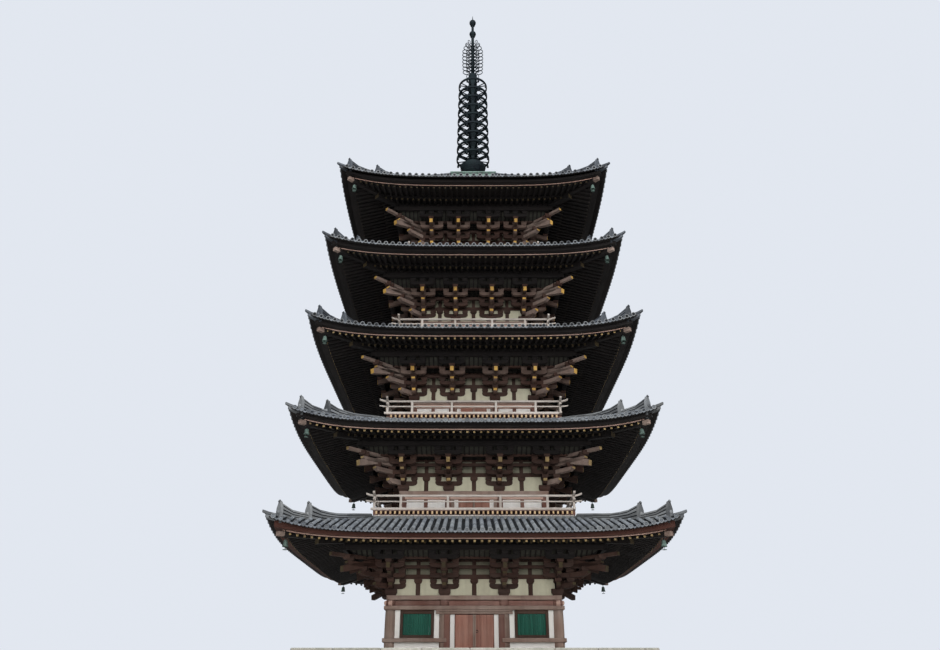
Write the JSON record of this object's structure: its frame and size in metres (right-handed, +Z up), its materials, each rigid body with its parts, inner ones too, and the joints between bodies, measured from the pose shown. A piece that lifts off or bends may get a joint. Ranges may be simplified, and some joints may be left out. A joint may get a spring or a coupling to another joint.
{
  "type": "five-storey timber pagoda",
  "caption": "Square tiered timber pagoda on a stone podium: tiled roofs on deep bracketed eaves, railed balconies, hinged front doors and a bronze ringed spire.",
  "frame": {"origin": "centre of the podium's underside, on the ground", "axes": "+Z up, -Y the front with the hinged doors, +X to the right seen from the front"},
  "size_m": [16.2806, 16.2806, 39.36],
  "materials": {
    "stone": "weathered dressed stone, rough",
    "timber": "weathered red-brown timber, matt",
    "dark_timber": "dark aged timber, matt",
    "plaster": "lime plaster, matt",
    "door_boards": "faded red-brown boards, matt",
    "pale_timber": "weathered pale timber, matt",
    "tile": "smoked blue-grey clay tile, low sheen",
    "bronze": "dark bronze with green patina"
  },
  "bodies": {
    "root": {"podium": "stone", "steps_front": "stone", "steps_right": "stone", "steps_back": "stone", "steps_left": "stone", "floor": "stone", "sill_beam": "timber", "corner_frame_front_left": "timber", "corner_frame_front_right": "timber", "corner_frame_back_right": "timber", "corner_frame_back_left": "timber", "head_beams": "timber", "wall_front_left": "plaster", "wall_front_right": "plaster", "wall_right_left": "plaster", "wall_right_right": "plaster", "wall_back_left": "plaster", "wall_back_right": "plaster", "wall_left_left": "plaster", "wall_left_right": "plaster", "door_right": "door_boards", "door_back": "door_boards", "door_left": "door_boards", "bracket_wall_1": "plaster", "brackets_1": "dark_timber", "eaves_1": "dark_timber", "roof_1": "tile", "storey_2": "timber", "balcony_2": "pale_timber", "bracket_wall_2": "plaster", "brackets_2": "dark_timber", "eaves_2": "dark_timber", "roof_2": "tile", "storey_3": "timber", "balcony_3": "pale_timber", "bracket_wall_3": "plaster", "brackets_3": "dark_timber", "eaves_3": "dark_timber", "roof_3": "tile", "storey_4": "timber", "balcony_4": "pale_timber", "bracket_wall_4": "plaster", "brackets_4": "dark_timber", "eaves_4": "dark_timber", "roof_4": "tile", "storey_5": "timber", "balcony_5": "pale_timber", "bracket_wall_5": "plaster", "brackets_5": "dark_timber", "eaves_5": "dark_timber", "roof_5": "tile", "heart_pillar": "timber", "spire_base": "bronze", "spire_rings": "bronze", "spire_finial": "bronze"},
    "left_door": {"door_leaf_left": "door_boards"},
    "right_door": {"door_leaf_right": "door_boards"}
  },
  "joints": [
    {"name": "left_door_hinge", "type": "hinge", "parent": "root", "child": "left_door", "pos_m": [-0.72, -3.48, 1.43], "axis": [0, 0, -1], "range_deg": [0, 100]},
    {"name": "right_door_hinge", "type": "hinge", "parent": "root", "child": "right_door", "pos_m": [0.72, -3.48, 1.43], "axis": [0, 0, 1], "range_deg": [0, 100]}
  ]
}
